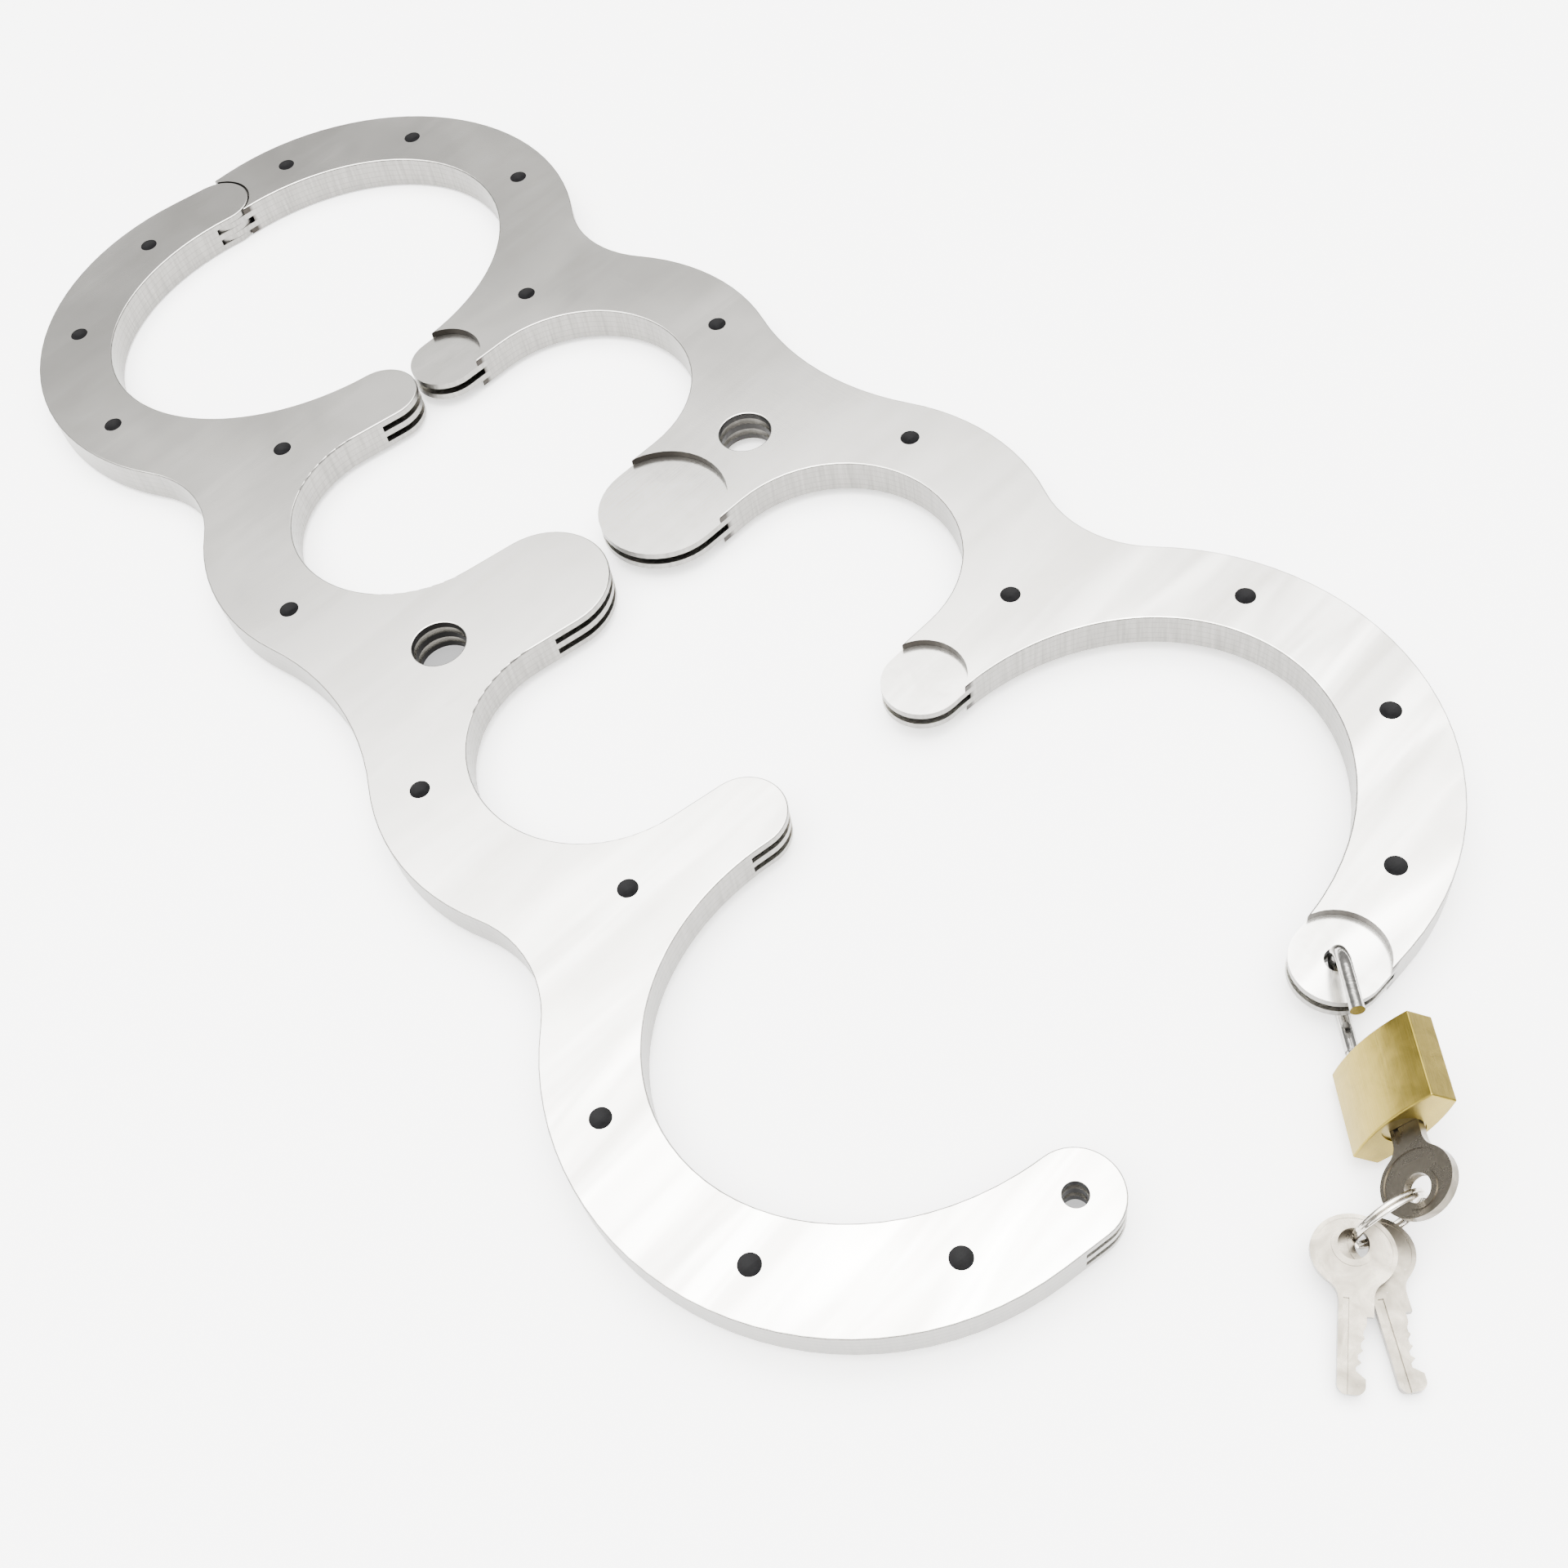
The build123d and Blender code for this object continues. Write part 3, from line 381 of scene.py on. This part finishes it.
def split_ring():
    """Two turns of flattened wire in place of the CAD's two joined loops."""
    low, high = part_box("key_ring")
    centre = (low + high) / 2
    points = [v.co - centre for v in nodes["key_ring"].data.vertices]
    outer = max(p.length for p in points)
    moments = Matrix([[sum(p[i] * p[j] for p in points) for j in range(3)] for i in range(3)])
    axis = Vector((0, 1, 0))
    inverse = moments.inverted()
    for _ in range(40):
        axis = (inverse @ axis).normalized()
    half_width = max(abs(p.dot(axis)) for p in points)
    across = axis.cross(Vector((0, 0, 1))).normalized()
    up = across.cross(axis)
    wire_wide = half_width * WIRE_WIDE
    wire_deep = half_width * WIRE_DEEP
    mean = outer - wire_deep / 2
    verts, faces = [], []
    for step in range(RING_STEPS + 1):
        share = step / RING_STEPS
        angle = 2 * math.pi * RING_TURNS * share + RING_START
        shift = half_width / 2 * math.tanh((share - 0.5) * CROSSING)
        radial = across * math.cos(angle) + up * math.sin(angle)
        middle = centre + radial * mean + axis * shift
        pinch = min(1.0, 0.55 + 18 * min(share, 1 - share))
        for side in range(RING_FACES):
            turn = 2 * math.pi * side / RING_FACES
            c, s = math.cos(turn), math.sin(turn)
            wide = math.copysign(abs(c) ** 0.6, c) * wire_wide / 2 * WIRE_TRIM
            deep = math.copysign(abs(s) ** 0.7, s) * wire_deep / 2 * pinch
            verts.append(middle + axis * wide + radial * deep)
    for step in range(RING_STEPS):
        for side in range(RING_FACES):
            a = step * RING_FACES + side
            b = step * RING_FACES + (side + 1) % RING_FACES
            faces.append((a, b, b + RING_FACES, a + RING_FACES))
    faces.append(tuple(range(RING_FACES))[::-1])
    last = RING_STEPS * RING_FACES
    faces.append(tuple(last + i for i in range(RING_FACES)))
    mesh = bpy.data.meshes.new("split_ring")
    mesh.from_pydata(verts, [], faces)
    mesh.update()
    for polygon in mesh.polygons:
        polygon.use_smooth = len(polygon.vertices) == 4
    ring = bpy.data.objects.new("split_ring", mesh)
    bpy.context.scene.collection.objects.link(ring)
    mesh.materials.append(slot_materials["ring_nickel"])
    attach(ring, "ring")
    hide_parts("key_ring")
    return ring


split_ring()

# --- floor, light and camera --------------------------------------------------------------
hinge_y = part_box("left_bottom_plate")[1].y
HINGE_END = 0.1  # how much of the board counts as its hinge end, which touches the floor


def lean(thing):
    """The tilt at which a floor through the hinge end just touches the rest of a node."""
    points = [thing.matrix_world @ v.co for v in thing.data.vertices]
    return max((-p.z / (hinge_y - p.y) for p in points if p.y < hinge_y - HINGE_END), default=0.0)


slope = max(lean(thing) for thing in nodes.values())


UNDER_HOLE = 0.0012  # how far past a hole the floor stays fully shaded
UNDER_HOLE_FADE = 0.004
FLOOR_SHADE = (0.02, 0.02, 0.02, 1)
FLOOR_GLOW = 0.8
FLOOR_SIZE = 6.0
FLOOR_DROP = 0.0001


def floor_material():
    """Matt white board, shaded where it shows through the fixed arm's holes."""
    g = Graph("pale_floor")
    paper = g.noise(g.coords(), 60.0, 4.0, 0.6)
    colour = g.mix(paper, (0.95, 0.95, 0.95, 1), (0.97, 0.97, 0.97, 1))
    for centre, radius in HOLES[:2]:
        under = g.around(centre, radius + UNDER_HOLE, UNDER_HOLE_FADE)
        colour = g.mix(under, colour, FLOOR_SHADE)
    return g.finish(colour, 0.9, metallic=0.0, Emission_Strength=FLOOR_GLOW)


def make_floor(size):
    mesh = bpy.data.meshes.new("floor")
    corners = [(-size, -size), (size, -size), (size, size), (-size, size)]
    verts = [(x, y, (y - hinge_y) * slope - FLOOR_DROP) for x, y in corners]
    mesh.from_pydata(verts, [], [(0, 1, 2, 3)])
    floor = bpy.data.objects.new("floor", mesh)
    bpy.context.scene.collection.objects.link(floor)
    mesh.materials.append(floor_material())


make_floor(FLOOR_SIZE)


def area_light(name, place, target, size, power):
    data = bpy.data.lights.new(name, "AREA")
    data.shape = "RECTANGLE"
    data.size, data.size_y = size
    data.energy = power
    light = bpy.data.objects.new(name, data)
    light.location = place
    light.rotation_mode = "QUATERNION"
    light.rotation_quaternion = (Vector(target) - Vector(place)).to_track_quat("-Z", "Y")
    bpy.context.scene.collection.objects.link(light)


# name, place, target, size, watts
LIGHTS = (
    ("overhead", (0.10, -0.25, 1.1), (0.03, -0.2, 0), (0.7, 0.5), 9.0),
    ("left_soft", (-0.9, -0.2, 0.7), (0, -0.2, 0), (0.6, 0.9), 6.0),
    ("right_soft", (0.9, -0.5, 0.6), (0.03, -0.25, 0), (0.5, 0.5), 2.5),
)
for light_values in LIGHTS:
    area_light(*light_values)

SKY_STRENGTH = 14.0
# The sky's brightness from the horizon, 0, to straight overhead, 1.
SKY_STOPS = ((0.0, 0.04), (0.5, 0.05), (0.66, 0.1), (0.77, 0.55), (0.84, 0.8), (0.9, 1.0))
SKY_TINT = (1.0, 0.99, 0.975)


def make_world():
    """A studio that is bright overhead and grey towards the walls."""
    world = bpy.data.worlds.new("studio")
    bpy.context.scene.world = world
    world.use_nodes = True
    tree = world.node_tree
    tree.nodes.clear()
    out = tree.nodes.new("ShaderNodeOutputWorld")
    background = tree.nodes.new("ShaderNodeBackground")
    place = tree.nodes.new("ShaderNodeTexCoord")
    split = tree.nodes.new("ShaderNodeSeparateXYZ")
    ramp = tree.nodes.new("ShaderNodeValToRGB")
    tree.links.new(place.outputs["Generated"], split.inputs[0])
    tree.links.new(split.outputs["Z"], ramp.inputs[0])
    tree.links.new(ramp.outputs[0], background.inputs[0])
    tree.links.new(background.outputs[0], out.inputs[0])
    while len(ramp.color_ramp.elements) < len(SKY_STOPS):
        ramp.color_ramp.elements.new(0.5)
    for element, (position, value) in zip(ramp.color_ramp.elements, SKY_STOPS):
        element.position = position
        element.color = (*(value * tint for tint in SKY_TINT), 1)
    background.inputs[1].default_value = SKY_STRENGTH


make_world()


LENS = 41.72
CAMERA_PLACE = (-0.06987, -0.41261, 0.27721)
CAMERA_RIGHT = Vector((0.81405964, -0.56623201, -0.12918286))
CAMERA_UP = Vector((0.52953644, 0.63228366, 0.56551616))
CAMERA_BACK = Vector((-0.23853314, -0.52877092, 0.8145571))


def make_camera():
    """A close viewpoint, high and from the lock end's left."""
    data = bpy.data.cameras.new("camera")
    data.sensor_width = 36.0
    data.lens = LENS
    data.clip_start, data.clip_end = 0.01, 50.0
    camera = bpy.data.objects.new("camera", data)
    turn = Matrix((CAMERA_RIGHT, CAMERA_UP, CAMERA_BACK)).transposed().to_4x4()
    camera.matrix_world = Matrix.Translation(CAMERA_PLACE) @ turn
    bpy.context.scene.collection.objects.link(camera)
    bpy.context.scene.camera = camera


make_camera()
